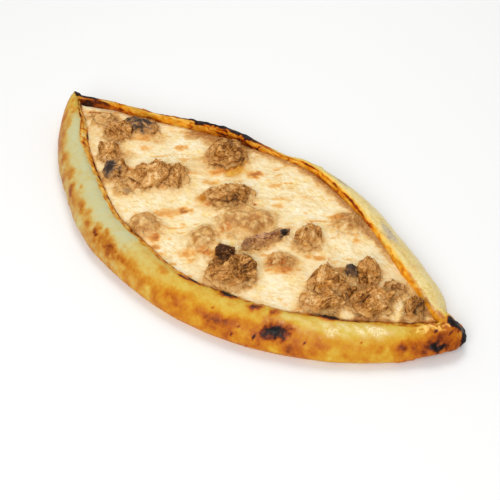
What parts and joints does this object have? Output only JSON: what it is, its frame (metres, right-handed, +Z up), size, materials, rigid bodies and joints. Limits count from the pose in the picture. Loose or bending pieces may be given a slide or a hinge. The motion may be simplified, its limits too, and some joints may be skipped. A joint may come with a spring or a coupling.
{
  "type": "turkish pide",
  "caption": "Boat-shaped flatbread with a rolled rim, pinched at both ends, filled with melted cheese and torn chunks of braised meat.",
  "frame": {"origin": "middle of the underside, on the surface that the bread lies on", "axes": "+X along the length from the pinched tip to the blunt nose, +Y towards the flatter side, +Z up"},
  "size_m": [0.3578, 0.165, 0.03],
  "materials": {
    "dough": "baked bread crust, pale gold with browned and charred patches, slightly glossy",
    "cheese": "melted cheese, cream with light brown blisters, soft oily sheen",
    "meat": "braised shredded meat, tan to dark brown, fibrous"
  },
  "bodies": {
    "root": {"cheese": "cheese", "crust": "dough", "meat_block": "meat", "meat_covered_far_rim": "meat", "meat_covered_middle": "meat", "meat_covered_near_rim": "meat", "meat_covered_small": "meat", "meat_crumb": "meat", "meat_dark_fold": "meat", "meat_far_rim": "meat", "meat_left_charred": "meat", "meat_left_peak": "meat", "meat_left_tail": "meat", "meat_middle": "meat", "meat_mound": "meat", "meat_mound_flank": "meat", "meat_near_rim": "meat", "meat_nose_back": "meat", "meat_nose_charred": "meat", "meat_nose_crumb": "meat", "meat_nose_front": "meat", "meat_nose_last": "meat", "meat_nose_left": "meat", "meat_nose_link": "meat", "meat_nose_near": "meat", "meat_strip": "meat", "meat_tip_charred": "meat", "meat_tip_front": "meat", "meat_tip_pale": "meat"}
  },
  "joints": []
}
